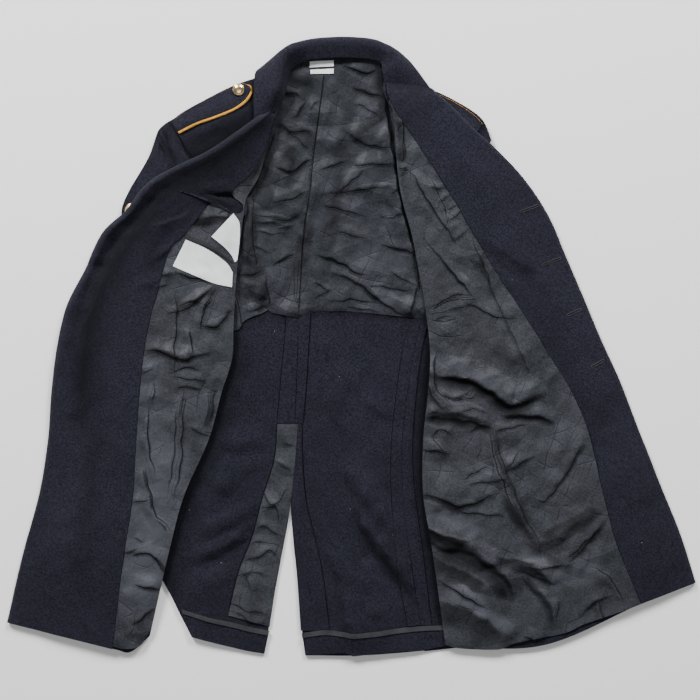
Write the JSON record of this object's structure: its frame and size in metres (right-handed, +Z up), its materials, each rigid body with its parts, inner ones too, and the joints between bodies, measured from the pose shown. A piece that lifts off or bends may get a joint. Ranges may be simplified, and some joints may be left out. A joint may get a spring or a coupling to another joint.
{
  "type": "military dress tunic",
  "caption": "Dark wool dress tunic laid open on its back: collar, fronts, satin lining, gold-corded shoulder straps, back vent.",
  "frame": {"origin": "on the surface that the tunic rests on, below the centre of its outline", "axes": "+Z up from the surface, +Y towards the collar, +X towards the wearer's left front"},
  "size_m": [0.9179, 0.8235, 0.0306],
  "materials": {
    "wool": "napped wool serge",
    "lining": "satin",
    "tape": "woven tape",
    "label": "woven tape",
    "cord": "braided cord",
    "brass": "polished"
  },
  "bodies": {
    "root": {"back_left": "wool", "back_right": "wool", "care_label": "label", "centre_allowance_left": "wool", "centre_allowance_right": "wool", "facing_left": "wool", "facing_right": "wool", "front_button_1": "brass", "front_button_2": "brass", "front_button_3": "brass", "front_button_4": "brass", "front_left": "wool", "front_lining_left": "lining", "front_lining_right": "lining", "front_right": "wool", "front_shoulder_left": "wool", "front_shoulder_right": "wool", "hem_binding_left": "tape", "hem_binding_right": "tape", "hem_turn_left": "wool", "hem_turn_right": "wool", "lot_label": "label", "name_label": "label", "pocket_welt_right": "lining", "shoulder_cord_left": "cord", "shoulder_cord_right": "cord", "shoulder_strap_left": "wool", "shoulder_strap_right": "wool", "side_allowance_back": "wool", "side_allowance_side": "wool", "side_left": "wool", "side_right": "wool", "size_label": "label", "strap_button_right": "brass", "top_collar": "wool", "top_sleeve_left": "wool", "top_sleeve_right": "wool", "under_collar": "wool", "under_sleeve_left": "wool", "under_sleeve_right": "wool", "vent_facing_left": "wool", "vent_lining_right": "lining", "yoke_lining_left": "lining", "yoke_lining_right": "lining"}
  },
  "joints": []
}
